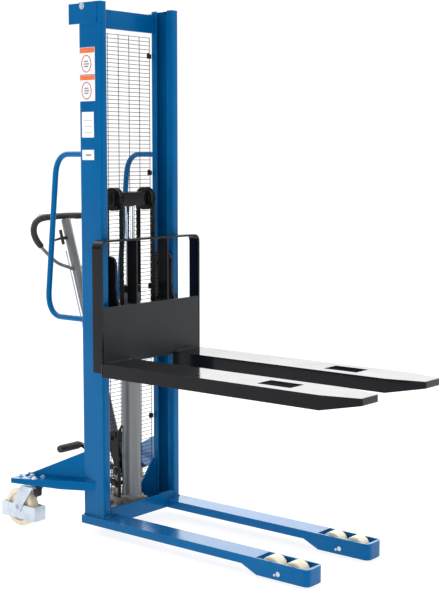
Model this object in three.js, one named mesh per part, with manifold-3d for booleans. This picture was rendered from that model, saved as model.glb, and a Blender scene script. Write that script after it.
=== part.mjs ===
// Walkie stacker with a fixed mast, a chain-lifted fork carriage and a hand-pumped hydraulic cylinder.
// Millimetres. +X is where the forks point, +Y is the operator's left, +Z is up.
import * as THREE from "three";
import { mergeVertices } from "three/addons/utils/BufferGeometryUtils.js";
import Module from "manifold-3d";

const wasm = await Module();
wasm.setup();

// ---------------------------------------------------------------- driving dimensions
const clearance = 0.3;
const runningGap = 1;

const mastHeight = 1980;
const mastWidth = 428;
const channelDepth = 109;
const channelFlange = 36;
const channelLip = 28;
const channelWall = 6;

const legWidth = 89;
const legReveal = 13;
const legOverall = mastWidth + 2 * legReveal;
const legTop = 69;
const legUnderside = 38;
const legTip = 944;
const legWall = 6;
const boxUnderside = 10;
const boxSlopeStart = 664;
const boxSlopeEnd = 729;
const wellRear = 722;
const wellFront = 932;

const loadRollerRadius = 39;
const loadRollerWidth = 50;
const loadRollerSpacing = 95;
const bogieX = 822;
const bogiePivotZ = 32;
const bogiePinRadius = 7;

const forkOverall = 555;
const forkWidth = 165;
const forkTipWidth = 98;
const forkLength = 1100;
const forkTaperLength = 140;
const forkThickness = 50;
const forkTipThickness = 24;
const forkWall = 6;
const forkTop = 671;
const forkSlotLength = 138;
const forkSlotWidth = 79;
const forkSlotStart = 735;

const plateFront = 56.5;
const plateThickness = 10;
const plateTop = 875;
const plateBottom = 661;
const backrestWidth = 550;
const backrestTop = 1120;
const backrestFoot = 634;
const barDepth = 48;
const barThickness = 8;
const backrestBarY = 86;

const sidePlateY = 150;
const sidePlateThickness = 10;
const sidePlateRear = -84;
const sidePlateTop = 1055;
const sidePlateBottom = 690;
const mastRollerWidth = 20;
const mastRollerZ = { upper: 995, lower: 745 };
const stubRadius = 12;

const ramBehindLip = 49;
const ramX = ramBehindLip - channelDepth;
const ramRadius = 17.5;
const pistonBottom = 405;
const cylinderRadius = 37;
const cylinderBore = 30;
const cylinderTop = 905;
const glandHeight = 27;

const chainY = 87;
const chainWidth = 16;
const chainThickness = 8;
const chainRollerRadius = 34;
const chainRollerFlange = 44;
const crossheadZ = 1262;
const crossheadHeight = 52;
const frontAnchorZ = 760;
const rearAnchorZ = 880;
const studRadius = 5;

const midBeamTop = 850;
const midBeamBottom = 770;

const floorPlateTop = 46;
const pumpTop = 100;
const pumpHalfWidth = 48;
const pumpFront = -15;
const pumpLengthBehind = 28;
const pistonX = ramX - 90;
const pumpPistonRadius = 13.7;
const pumpBossTop = 122;
const pumpCapTop = 196;
const pumpCapRadius = 18;
const plungerBottom = 98;
const plungerWellBottom = 56;

const tillerPivot = { x: ramX - 53, z: 200 };
const tillerLean = 17.1;
const tillerLength = 1032;
const socketTop = 152;
const tillerRadius = 19;
const gripRadius = 12.5;
const gripBow = 8;
const loopHalfWidth = 184;
const pinRadius = 8;

const pedalPivot = { x: ramX - 47, z: 150 };
const pedalLength = 307;
const pedalRise = 19;
const pedalGripHalf = 66;

const hoopInset = 19;
const hoopY = mastWidth / 2 - hoopInset;
const hoopRadius = 11;
const hoopTopZ = 1431;
const hoopFootZ = 813;

const guardColumns = 6;
const guardSideGap = 3;
const guardMastGap = 7;
const guardPitchZ = 234;
const guardBottom = 125;
const guardNotchTop = 335;
const guardTop = 1880;
const guardThickness = 3;
const guardStrip = 4;
const guardTabs = [389, 910, 1358, 1809];

const casterOutreach = 86;
const casterY = mastWidth / 2 + casterOutreach;
const casterStemX = -300;
const casterTrail = 60;
const wheelRadius = 75;
const wheelWidth = 40;
const toeGuardSheet = 3;
const toeGuardTop = 88;
const toeGuardBottom = 32;
const toeGuardRear = 89;
const toeGuardFront = 100;
const outriggerTop = 200;
const outriggerLip = 33;
const outriggerSheet = 5;
const outriggerTip = [-351, casterY + 72];
const outriggerHeel = [-360, casterY - 10];
const outriggerTipLip = 14;
const gussetTop = 308;

// ---------------------------------------------------------------- finishes
const paint = (color, roughness, metalness) => () => new THREE.MeshStandardMaterial({ color, roughness,
  metalness });
const bluePaint = paint(0x0a56a0, 0.4, 0.1);
const blackPaint = paint(0x1d1f21, 0.5, 0.1);
const greyPaint = paint(0x8b8d8c, 0.45, 0.2);
const zinc = paint(0xb9c2c8, 0.35, 0.8);
const chrome = paint(0xd9dde0, 0.12, 1);
const darkSteel = paint(0x3a3733, 0.5, 0.8);
const nylon = paint(0xe6dcc8, 0.45, 0);
const rubber = paint(0x17181a, 0.8, 0);

// ---------------------------------------------------------------- solid helpers
const object = new THREE.Group();

function solid(geometry) {
  const bare = geometry.index ? geometry.toNonIndexed() : geometry.clone();
  for (const name of Object.keys(bare.attributes)) {
    if (name !== "position") bare.deleteAttribute(name);
  }
  const merged = mergeVertices(bare, 1e-4);
  const mesh = new wasm.Mesh({
    numProp: 3,
    vertProperties: new Float32Array(merged.attributes.position.array),
    triVerts: new Uint32Array(merged.index.array),
  });
  return new wasm.Manifold(mesh);
}

function geometryOf(manifold) {
  const mesh = manifold.getMesh();
  const geometry = new THREE.BufferGeometry();
  geometry.setAttribute("position", new THREE.BufferAttribute(new Float32Array(mesh.vertProperties), 3));
  geometry.setIndex(new THREE.BufferAttribute(new Uint32Array(mesh.triVerts), 1));
  return geometry;
}

function join(first, ...others) {
  return geometryOf(others.reduce((whole, piece) => whole.add(solid(piece)), solid(first)));
}

function cut(first, ...tools) {
  return geometryOf(tools.reduce((rest, tool) => rest.subtract(solid(tool)), solid(first)));
}

function common(first, second) {
  return geometryOf(solid(first).intersect(solid(second)));
}

function box(x0, x1, y0, y1, z0, z1) {
  const geometry = new THREE.BoxGeometry(x1 - x0, y1 - y0, z1 - z0);
  return geometry.translate((x0 + x1) / 2, (y0 + y1) / 2, (z0 + z1) / 2);
}

// An outline is a list of [u, v] or [u, v, radius]; a radius rounds that corner.
function outlineShape(points) {
  const shape = new THREE.Shape();
  const count = points.length;
  points.forEach(([u, v, radius = 0], i) => {
    const corner = new THREE.Vector2(u, v);
    const before = new THREE.Vector2(...points[(i + count - 1) % count].slice(0, 2));
    const after = new THREE.Vector2(...points[(i + 1) % count].slice(0, 2));
    const start = before.clone().sub(corner).setLength(radius).add(corner);
    const end = after.clone().sub(corner).setLength(radius).add(corner);
    if (i === 0) shape.moveTo(start.x, start.y);
    else shape.lineTo(start.x, start.y);
    if (radius > 0) shape.quadraticCurveTo(corner.x, corner.y, end.x, end.y);
  });
  return shape;
}

// Extrudes an outline between two stations along an axis: x takes [y, z], y takes [x, z], z takes [x, y].
function prism(axis, points, from, to, curveSegments = 4) {
  const shape = points instanceof THREE.Shape ? points : outlineShape(points);
  const geometry = new THREE.ExtrudeGeometry(shape, { depth: to - from, bevelEnabled: false, curveSegments });
  if (axis === "x") {
    const basis = new THREE.Matrix4().makeBasis(
      new THREE.Vector3(0, 1, 0), new THREE.Vector3(0, 0, 1), new THREE.Vector3(1, 0, 0));
    return geometry.applyMatrix4(basis).translate(from, 0, 0);
  }
  if (axis === "y") return geometry.rotateX(Math.PI / 2).translate(0, to, 0);
  return geometry.translate(0, 0, from);
}

function rod(axis, radius, from, to, [a, b], sides = 16) {
  const geometry = new THREE.CylinderGeometry(radius, radius, to - from, sides);
  const middle = (from + to) / 2;
  if (axis === "x") return geometry.rotateZ(Math.PI / 2).translate(middle, a, b);
  if (axis === "y") return geometry.translate(a, middle, b);
  return geometry.rotateX(Math.PI / 2).translate(a, b, middle);
}

// A turned piece about a Y or Z axis; the profile is a list of [radius, station].
function turned(axis, profile, [a, b], sides = 24) {
  const closed = profile[0][0] === 0 ? profile : [...profile, profile[0]];
  const geometry = new THREE.LatheGeometry(closed.map(([r, s]) => new THREE.Vector2(r, s)), sides);
  const faces = geometryOf(solid(geometry));
  if (axis === "y") return faces.translate(a, 0, b);
  return faces.rotateX(Math.PI / 2).translate(a, b, 0);
}

function tube(path, radius, steps, sides = 8) {
  const section = new THREE.Shape();
  for (let i = 0; i <= sides; i++) {
    const angle = (2 * Math.PI * i) / sides;
    const point = [radius * Math.cos(angle), radius * Math.sin(angle)];
    if (i === 0) section.moveTo(...point);
    else if (i < sides) section.lineTo(...point);
  }
  return new THREE.ExtrudeGeometry(section, { steps, extrudePath: path, bevelEnabled: false });
}

const mirrored = (points, side) => points.map(([y, z, r]) => [side * y, z, r]);
const span = (side, inner, outer) => (side > 0 ? [inner, outer] : [-outer, -inner]);

function add(name, geometry, finish) {
  const mesh = new THREE.Mesh(geometry, finish());
  mesh.name = name;
  object.add(mesh);
  return mesh;
}

const sides = [["right", -1], ["left", 1]];

// ---------------------------------------------------------------- mast
const lipInner = mastWidth / 2 - channelFlange;
const channelMiddle = -channelDepth / 2;

for (const [name, side] of sides) {
  const outer = mastWidth / 2;
  const web = outer - channelWall;
  const lip = lipInner + channelWall;
  const section = [
    [0, outer, 8], [0, lipInner, 8], [-channelLip, lipInner], [-channelLip, lip],
    [-channelWall, lip], [-channelWall, web, 3], [-channelDepth + channelWall, web, 3],
    [-channelDepth + channelWall, lip], [-channelDepth + channelLip, lip],
    [-channelDepth + channelLip, lipInner], [-channelDepth, lipInner, 8], [-channelDepth, outer, 8],
  ].map(([x, y, r]) => [x, side * y, r]);
  const bracket = box(-channelDepth - 47, -14, ...span(side, outer - 1, outer + 4), mastHeight - 77,
    mastHeight - 3);
  add(`${name}_upright`, join(prism("z", section, legTop + clearance, mastHeight), bracket), bluePaint);
}

const beamHalf = lipInner - clearance;
const beamRear = -channelDepth + clearance;
add("top_crossbeam", box(beamRear, beamRear + 10, -beamHalf, beamHalf, mastHeight - 83,
  mastHeight - 13), bluePaint);

const strandRadius = chainRollerRadius + chainThickness / 2;
const rearStrandX = ramX - strandRadius;
const frontStrandX = ramX + strandRadius;

function anchorStud(x, y, lugBottom, top) {
  const stud = rod("z", studRadius, lugBottom - 24, top - 12, [x, y], 12);
  const nut = rod("z", 9, lugBottom - 14, lugBottom + 1, [x, y], 6);
  const clevis = box(x - 6, x + 6, y - chainWidth / 2, y + chainWidth / 2, top - 20, top);
  return [stud, nut, clevis];
}

{
  const beam = box(beamRear, beamRear + 5, -beamHalf, beamHalf, midBeamBottom, midBeamTop);
  const pieces = sides.flatMap(([, side]) => [
    box(beamRear + 4, rearStrandX + 14, ...span(side, chainY - 12, chainY + 12), midBeamTop - 20, midBeamTop),
    ...anchorStud(rearStrandX, side * chainY, midBeamTop - 20, rearAnchorZ),
  ]);
  add("mid_crossbeam", join(beam, ...pieces), bluePaint);
}

// ---------------------------------------------------------------- base and straddle legs
const legOuterY = legOverall / 2;
const legInnerY = legOuterY - legWidth;

{
  const half = beamHalf;
  const low = legInnerY - clearance;
  const step = legTop + clearance;
  const front = [
    [-low, legUnderside], [low, legUnderside], [low, step], [half, step], [half, 98],
    [-half, 98], [-half, step], [-low, step],
  ];
  add("base_front_plate", prism("x", front, -8, 0), bluePaint);
  const floor = box(-channelDepth + 1, -8 - clearance, -low, low, legUnderside, floorPlateTop);
  const corner = [
    [75, floorPlateTop - 1], [low, floorPlateTop - 1], [low, step], [half, step],
    [half, 216], [half - 8, 216], [75, 92],
  ];
  const rear = 1 - channelDepth;
  const corners = sides.map(([, side]) => prism("x", mirrored(corner, side), rear, rear + 8));
  add("base_floor_plate", join(floor, ...corners), bluePaint);
}

for (const [name, side] of sides) {
  const profile = [
    [-channelDepth, legUnderside], [boxSlopeStart, legUnderside], [boxSlopeEnd, boxUnderside],
    [legTip, boxUnderside], [legTip, legTop], [-channelDepth, legTop],
  ];
  const plan = [
    [-channelDepth, legInnerY], [legTip, legInnerY, 22], [legTip, legOuterY, 22], [-channelDepth, legOuterY],
  ].map(([x, y, r]) => [x, side * y, r]);
  const body = common(prism("y", profile, ...span(side, legInnerY, legOuterY)),
    prism("z", plan, 0, legTop + 10));
  const inside = span(side, legInnerY + legWall, legOuterY - legWall);
  const hollow = box(-channelDepth - 5, wellRear + 1, ...inside, -5, legTop - legWall);
  const well = box(wellRear, wellFront, ...inside, -5, legTop + 5);
  const pinHole = rod("y", bogiePinRadius + clearance, ...span(side, legInnerY - 5, legOuterY + 5),
    [bogieX, bogiePivotZ]);
  add(`${name}_leg`, cut(body, hollow, well, pinHole), bluePaint);
}

// ---------------------------------------------------------------- tandem load rollers
const legMiddleY = (legInnerY + legOuterY) / 2;

for (const [name, side] of sides) {
  const y = side * legMiddleY;
  const plateInner = loadRollerWidth / 2 + runningGap;
  const axleXs = [bogieX - loadRollerSpacing / 2, bogieX + loadRollerSpacing / 2];
  const link = [
    [axleXs[0] - 15, 52, 8], [axleXs[0] - 15, 25, 8], [bogieX, 20, 6], [axleXs[1] + 15, 25, 8],
    [axleXs[1] + 15, 52, 8],
  ];
  const plates = [-1, 1].map((s) => prism("y", link,
    y + (s > 0 ? plateInner : -plateInner - 5), y + (s > 0 ? plateInner + 5 : -plateInner), 3));
  const pin = rod("y", bogiePinRadius, y - legWidth / 2 - 1, y + legWidth / 2 + 1, [bogieX, bogiePivotZ], 20);
  const axles = axleXs.map((x) => rod("y", pinRadius, y - plateInner - 1, y + plateInner + 1, [x,
    loadRollerRadius], 16));
  add(`${name}_bogie`, join(pin, ...plates, ...axles), darkSteel);
  axleXs.forEach((x, i) => {
    const half = loadRollerWidth / 2;
    const bore = pinRadius + clearance;
    const profile = [
      [bore, y - half], [loadRollerRadius - 4, y - half], [loadRollerRadius, y - half + 4],
      [loadRollerRadius, y + half - 4], [loadRollerRadius - 4, y + half], [bore, y + half],
    ];
    add(`${name}_load_roller_${i === 0 ? "rear" : "front"}`, turned("y", profile, [x,
      loadRollerRadius]), nylon);
  });
}

// ---------------------------------------------------------------- outriggers and swivel casters
// Moves every edge of a convex outline inwards by the same distance.
function inset(points, distance) {
  const count = points.length;
  const area = points.reduce((sum, [x, y], i) => {
    const [nextX, nextY] = points[(i + 1) % count];
    return sum + x * nextY - nextX * y;
  }, 0);
  const edges = points.map(([x, y], i) => {
    const [nextX, nextY] = points[(i + 1) % count];
    const along = new THREE.Vector2(nextX - x, nextY - y).normalize();
    const inward = new THREE.Vector2(-along.y, along.x).multiplyScalar(Math.sign(area) * distance);
    return { start: new THREE.Vector2(x, y).add(inward), along };
  });
  return edges.map((edge, i) => {
    const last = edges[(i + count - 1) % count];
    const gap = edge.start.clone().sub(last.start);
    const share = gap.cross(edge.along) / last.along.cross(edge.along);
    const corner = last.start.clone().addScaledVector(last.along, share);
    return [corner.x, corner.y];
  });
}

for (const [name, side] of sides) {
  const under = outriggerTop - outriggerLip;
  const plan = [
    [-42, mastWidth / 2 + clearance], outriggerTip, outriggerHeel, [-channelDepth - clearance, lipInner],
    [-channelDepth - clearance, mastWidth / 2 + clearance],
  ];
  const outer = plan.map(([x, y], i) => [x, side * y, i === 1 ? 14 : i === 2 ? 20 : 0]);
  const hull = inset(plan.slice(0, 4), outriggerSheet).map(([x, y]) => [x, side * y]);
  const rise = [
    [outriggerTip[0] - 50, under - 10], [-channelDepth - 60, under - 10], [-channelDepth - 60, under],
    [outriggerTip[0] - 50, outriggerTop - outriggerTipLip],
  ];
  const tray = cut(prism("z", outer, under, outriggerTop), prism("z", hull, under - 5,
    outriggerTop - outriggerSheet),
    prism("y", rise, -500, 500));
  const seat = box(casterStemX - 46, casterStemX + 34, ...span(side, casterY - 30, casterY + 24),
    outriggerTop - outriggerSheet - 9, outriggerTop - 1);
  const rootX = -channelDepth - clearance;
  const rootY = mastWidth / 2 - 6;
  const end = new THREE.Vector2(casterStemX - 34, casterY + 4);
  const run = Math.hypot(end.x - rootX, end.y - rootY);
  const web = prism("y", [[0, outriggerTop - 2], [0, gussetTop], [run, outriggerTop + 2], [run,
    outriggerTop - 2]], -3, 3);
  const turn = Math.atan2(side * (end.y - rootY), end.x - rootX);
  web.rotateZ(turn).translate(rootX, side * rootY, 0);
  const trimmed = cut(web, box(rootX, rootX + 20, -400, 400, 0, 400));
  add(`${name}_outrigger`, join(tray, seat, trimmed), bluePaint);
}

for (const [name, side] of sides) {
  const y = side * casterY;
  const wheelX = casterStemX - casterTrail;
  const guardInner = wheelWidth / 2 + 5;
  const guardOuter = guardInner + toeGuardSheet;
  const legInner = guardOuter + clearance;
  const legOuter = legInner + 4;
  const crownTop = outriggerTop - outriggerSheet - 9 - clearance;
  const cheek = [
    [casterStemX - 32, 166], [casterStemX + 34, 166], [wheelX + 26, wheelRadius + 2, 8],
    [wheelX + 20, wheelRadius - 18, 8], [wheelX - 14, wheelRadius - 14, 8], [wheelX - 22, wheelRadius + 8, 8],
  ];
  const cheeks = [-1, 1].map((s) => prism("y", cheek,
    y + (s > 0 ? legInner : -legOuter), y + (s > 0 ? legOuter : -legInner), 3));
  const crown = box(casterStemX - 34, casterStemX + 34, y - legOuter, y + legOuter, 160, 166);
  const race = turned("z", [[0, 165], [25, 165], [27, 170], [25, crownTop], [0, crownTop]],
    [casterStemX, y], 28);
  const axle = rod("y", 7, y - legOuter - 2, y + legOuter + 2, [wheelX, wheelRadius], 16);
  const nuts = [-1, 1].map((s) => rod("y", 11, y + (s > 0 ? legOuter - 1 : -legOuter - 2),
    y + (s > 0 ? legOuter + 2 : -legOuter + 1), [wheelX, wheelRadius], 6));
  add(`${name}_caster_fork`, join(crown, race, ...cheeks, axle, ...nuts), zinc);

  const half = wheelWidth / 2;
  const profile = [
    [7 + clearance, y - half - 3], [20, y - half - 3], [22, y - half + 4], [52, y - half],
    [wheelRadius - 6, y - half], [wheelRadius, y - half + 7], [wheelRadius, y + half - 7],
    [wheelRadius - 6, y + half],
    [52, y + half], [22, y + half - 4], [20, y + half + 3], [7 + clearance, y + half + 3],
  ];
  add(`${name}_caster_wheel`, turned("y", profile, [wheelX, wheelRadius], 32), nylon);

  const outside = box(wheelX - toeGuardRear, wheelX + toeGuardFront, y - guardOuter, y + guardOuter,
    toeGuardBottom, toeGuardTop);
  const inside = box(wheelX - toeGuardRear + toeGuardSheet, wheelX + toeGuardFront - toeGuardSheet,
    y - guardInner, y + guardInner, toeGuardBottom - 5, toeGuardTop + 5);
  const axleHole = rod("y", 7 + clearance, y - 60, y + 60, [wheelX, wheelRadius], 16);
  add(`${name}_toe_guard`, cut(outside, inside, axleHole), zinc);
}

// ---------------------------------------------------------------- push handles and guard
for (const [name, side] of sides) {
  const y = side * hoopY;
  const at = (x, z) => new THREE.Vector3(x, y, z);
  const start = -channelDepth - clearance;
  const path = new THREE.CurvePath();
  path.add(new THREE.LineCurve3(at(start, hoopTopZ), at(-190, hoopTopZ)));
  path.add(new THREE.CubicBezierCurve3(at(-190, hoopTopZ), at(-232, hoopTopZ), at(-256, 1400), at(-261,
    1350)));
  path.add(new THREE.LineCurve3(at(-261, 1350), at(-306, 905)));
  path.add(new THREE.CubicBezierCurve3(at(-306, 905), at(-311, 850), at(-285, hoopFootZ), at(-240,
    hoopFootZ)));
  path.add(new THREE.LineCurve3(at(-240, hoopFootZ), at(start, hoopFootZ)));
  add(`${name}_push_handle`, tube(path, hoopRadius, 32), bluePaint);
}

{
  const half = lipInner - guardSideGap;
  const guardPitchY = (2 * half) / guardColumns;
  const guardRear = -channelDepth - guardMastGap;
  const front = guardRear + guardThickness;
  const through = [guardRear - 5, front + 5];
  const windows = [box(...through, -guardPitchY, guardPitchY, guardBottom - 5, guardNotchTop)];
  for (let z0 = guardBottom + guardStrip; z0 < guardTop - 2 * guardStrip; z0 += guardPitchZ) {
    const z1 = Math.min(z0 + guardPitchZ, guardTop) - guardStrip;
    for (let column = -guardColumns / 2; column < guardColumns / 2; column++) {
      const inNotch = (column === -1 || column === 0) && z0 < guardNotchTop + guardStrip;
      if (inNotch) continue;
      const y0 = Math.max(column * guardPitchY + guardStrip / 2, -half + guardStrip);
      const y1 = Math.min((column + 1) * guardPitchY - guardStrip / 2, half - guardStrip);
      windows.push(box(...through, y0, y1, z0, z1));
    }
  }
  const sheet = cut(box(guardRear, front, -half, half, guardBottom, guardTop), ...windows);
  const tabs = sides.flatMap(([, side]) => guardTabs.map((z) =>
    box(front - 1, -channelDepth + 4, ...span(side, lipInner - 22, lipInner - 0.6), z - 10, z + 10)));
  add("guard_mesh", join(sheet, ...tabs), darkSteel);
}

// ---------------------------------------------------------------- hydraulics
add("lift_cylinder", turned("z", [
  [0, pumpTop + clearance], [cylinderRadius, pumpTop + clearance], [cylinderRadius, cylinderTop],
  [cylinderBore, cylinderTop], [cylinderBore, pumpTop + 12], [0, pumpTop + 12],
], [ramX, 0]), greyPaint);

add("cylinder_gland", turned("z", [
  [ramRadius + clearance, cylinderTop + clearance], [cylinderRadius + 3, cylinderTop + clearance],
  [cylinderRadius + 3, cylinderTop + glandHeight - 3], [cylinderRadius, cylinderTop + glandHeight],
  [ramRadius + clearance, cylinderTop + glandHeight],
], [ramX, 0]), darkSteel);

{
  const block = prism("z", [
    [pistonX - pumpLengthBehind, -pumpHalfWidth, 18], [pumpFront, -pumpHalfWidth, 12],
    [pumpFront, pumpHalfWidth, 12],
    [pistonX - pumpLengthBehind, pumpHalfWidth, 18],
  ], floorPlateTop + clearance, pumpTop);
  const boss = rod("z", 22, pumpTop - 5, pumpBossTop, [pistonX, 0]);
  const lugs = [-1, 1].map((s) => prism("y", [
    [pedalPivot.x - 12, pumpTop - 5], [pedalPivot.x + 12, pumpTop - 5], [pedalPivot.x + 12,
    pedalPivot.z + 20],
    [tillerPivot.x + 16, tillerPivot.z + 16, 12], [tillerPivot.x - 16, tillerPivot.z + 16, 12],
    [tillerPivot.x - 16, tillerPivot.z - 14, 8], [pedalPivot.x - 12, pedalPivot.z + 16],
  ], s > 0 ? 24 : -34, s > 0 ? 34 : -24));
  const bore = rod("z", pumpPistonRadius + clearance, plungerWellBottom, pumpBossTop + 5, [pistonX, 0]);
  const pinHole = rod("y", pinRadius + clearance, -60, 60, [tillerPivot.x, tillerPivot.z], 20);
  const pedalHole = rod("y", pinRadius + clearance, -60, 60, [pedalPivot.x, pedalPivot.z], 20);
  add("pump_body", cut(join(block, boss, ...lugs), bore, pinHole, pedalHole), greyPaint);
}
add("tiller_pin", join(
  rod("y", pinRadius, -36, 40, [tillerPivot.x, tillerPivot.z], 20),
  rod("y", pinRadius + 4, -39, -34 - clearance, [tillerPivot.x, tillerPivot.z], 6),
), darkSteel);

add("pump_piston", turned("z", [
  [0, plungerBottom], [pumpPistonRadius, plungerBottom], [pumpPistonRadius, pumpCapTop - 8],
  [pumpCapRadius, pumpCapTop - 8], [pumpCapRadius, pumpCapTop - 2], [pumpCapRadius - 4, pumpCapTop],
  [0, pumpCapTop],
], [pistonX, 0]), chrome);

add("pump_spring", turned("z", [
  [pumpPistonRadius + 1, pumpBossTop + clearance], [pumpCapRadius, pumpBossTop + clearance],
  [pumpCapRadius, pumpCapTop - 8 - clearance], [pumpPistonRadius + 1, pumpCapTop - 8 - clearance],
], [pistonX, 0]), darkSteel);

// ---------------------------------------------------------------- ram, crosshead and leaf chains
const crossheadBottom = crossheadZ - crossheadHeight / 2;
add("ram_rod", turned("z", [
  [0, pistonBottom], [cylinderBore - clearance, pistonBottom], [cylinderBore - clearance, pistonBottom + 25],
  [ramRadius, pistonBottom + 25], [ramRadius, crossheadBottom - clearance], [0, crossheadBottom - clearance],
], [ramX, 0]), chrome);

{
  const core = box(ramX - 24, ramX + 24, -chainY + 15, chainY - 15, crossheadBottom,
    crossheadBottom + crossheadHeight);
  const axle = rod("y", 10, -chainY - 26, chainY + 26, [ramX, crossheadZ], 20);
  const cheeks = sides.map(([, side]) => prism("y", [
    [ramX - 24, crossheadBottom, 10], [ramX + 24, crossheadBottom, 10],
    [ramX + 24, crossheadBottom + crossheadHeight, 10], [ramX - 24, crossheadBottom + crossheadHeight, 10],
  ], ...span(side, chainY + 14, chainY + 22)));
  add("crosshead", join(core, axle, ...cheeks), blackPaint);
}

for (const [name, side] of sides) {
  const y = side * chainY;
  const half = chainWidth / 2 + runningGap;
  const rim = half + 3;
  const bore = 10 + clearance;
  add(`${name}_chain_roller`, turned("y", [
    [bore, y - rim], [chainRollerFlange, y - rim], [chainRollerFlange, y - half],
    [chainRollerRadius - clearance, y - half], [chainRollerRadius - clearance, y + half],
    [chainRollerFlange, y + half], [chainRollerFlange, y + rim], [bore, y + rim],
  ], [ramX, crossheadZ]), darkSteel);

  const inner = chainRollerRadius;
  const outer = chainRollerRadius + chainThickness;
  const wrap = new THREE.Shape();
  wrap.absarc(ramX, crossheadZ, outer, 0, Math.PI, false);
  wrap.absarc(ramX, crossheadZ, inner, Math.PI, 0, true);
  add(`${name}_chain_wrap`, prism("y", wrap, y - chainWidth / 2, y + chainWidth / 2, 16), darkSteel);
  const link = (x, from, to) => box(x - chainThickness / 2, x + chainThickness / 2,
    y - chainWidth / 2, y + chainWidth / 2, from + clearance, to - clearance);
  add(`${name}_chain_front`, link(frontStrandX, frontAnchorZ, crossheadZ), darkSteel);
  add(`${name}_chain_rear`, link(rearStrandX, rearAnchorZ, crossheadZ), darkSteel);
}

// ---------------------------------------------------------------- fork carriage
const plateRear = plateFront - plateThickness;
const plateHalf = backrestWidth / 2 - barThickness - clearance;
add("carriage_plate", box(plateRear, plateFront, -plateHalf, plateHalf, plateBottom, plateTop), blackPaint);

{
  const outer = backrestWidth / 2;
  const inner = outer - barThickness;
  const rear = plateFront - barDepth;
  const hoop = prism("x", [
    [-outer, backrestFoot], [-inner, backrestFoot], [-inner, backrestTop - barThickness, 24],
    [inner, backrestTop - barThickness, 24], [inner, backrestFoot], [outer, backrestFoot],
    [outer, backrestTop, 32], [-outer, backrestTop, 32],
  ], rear, plateFront, 6);
  const bars = sides.map(([, side]) => box(rear, plateFront,
    ...span(side, backrestBarY - barThickness / 2, backrestBarY + barThickness / 2),
    plateTop + clearance, backrestTop - barThickness / 2));
  add("backrest", join(hoop, ...bars), blackPaint);
}

for (const [name, side] of sides) {
  const outline = [
    [sidePlateRear, sidePlateBottom, 20], [plateRear - clearance, sidePlateBottom],
    [plateRear - clearance, plateTop - 20, 10], [16, plateTop + 15, 40],
    [16, sidePlateTop, 40], [sidePlateRear, sidePlateTop, 40],
  ];
  const plate = prism("y", outline, ...span(side, sidePlateY, sidePlateY + sidePlateThickness), 6);
  const stubs = Object.values(mastRollerZ).map((z) => rod("y", stubRadius,
    ...span(side, sidePlateY + 5, mastWidth / 2 - channelWall - 1), [channelMiddle, z], 20));
  add(`${name}_side_plate`, join(plate, ...stubs), blackPaint);

  const from = lipInner + channelWall + runningGap;
  const radius = channelDepth / 2 - channelWall - runningGap;
  for (const [level, z] of Object.entries(mastRollerZ)) {
    const [y0, y1] = span(side, from, from + mastRollerWidth);
    add(`${name}_mast_roller_${level}`, turned("y", [
      [stubRadius + clearance, y0], [radius - 3, y0], [radius, y0 + 3],
      [radius, y1 - 3], [radius - 3, y1], [stubRadius + clearance, y1],
    ], [channelMiddle, z]), darkSteel);
  }
}

{
  const half = sidePlateY - clearance;
  const tie = box(4, 14, -half, half, sidePlateBottom, sidePlateBottom + 70);
  const pieces = sides.flatMap(([, side]) => [
    box(frontStrandX - 14, 5, ...span(side, chainY - 12, chainY + 12), sidePlateBottom, sidePlateBottom + 20),
    ...anchorStud(frontStrandX, side * chainY, sidePlateBottom, frontAnchorZ),
  ]);
  add("carriage_tie", join(tie, ...pieces), blackPaint);
}

for (const [name, side] of sides) {
  const outer = forkOverall / 2;
  const inner = outer - forkWidth;
  const taper = (forkWidth - forkTipWidth) / 2;
  const heel = plateFront + clearance;
  const tip = plateFront + forkLength;
  const shoulder = tip - forkTaperLength;
  const plan = (inset, end) => [
    [heel - inset, inner + inset], [shoulder, inner + inset], [tip - end, inner + taper + inset,
    inset ? 0 : 8],
    [tip - end, outer - taper - inset, inset ? 0 : 8], [shoulder, outer - inset], [heel - inset,
    outer - inset],
  ].map(([x, y, r]) => [x, side * y, r]);
  const underside = forkTop - forkThickness;
  const profile = [
    [heel, underside], [shoulder, underside], [tip, forkTop - forkTipThickness], [tip, forkTop, 5],
    [heel, forkTop],
  ];
  const body = common(prism("z", plan(0, 0), underside, forkTop), prism("y", profile, ...span(side,
    inner - 5, outer + 5)));
  const hollow = prism("z", plan(forkWall, 12), underside - 5, forkTop - forkWall);
  const middle = (inner + outer) / 2;
  const slot = box(forkSlotStart, forkSlotStart + forkSlotLength,
    ...span(side, middle - forkSlotWidth / 2, middle + forkSlotWidth / 2), forkTop - 20, forkTop + 5);
  add(`${name}_fork`, cut(body, hollow, slot), blackPaint);
}

// ---------------------------------------------------------------- tiller
const tiller = new THREE.Group();
tiller.position.set(tillerPivot.x, 0, tillerPivot.z);
tiller.rotation.y = THREE.MathUtils.degToRad(-tillerLean);
object.add(tiller);

function addTo(group, name, geometry, finish) {
  const mesh = add(name, geometry, finish);
  group.add(mesh);
  return mesh;
}

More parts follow.
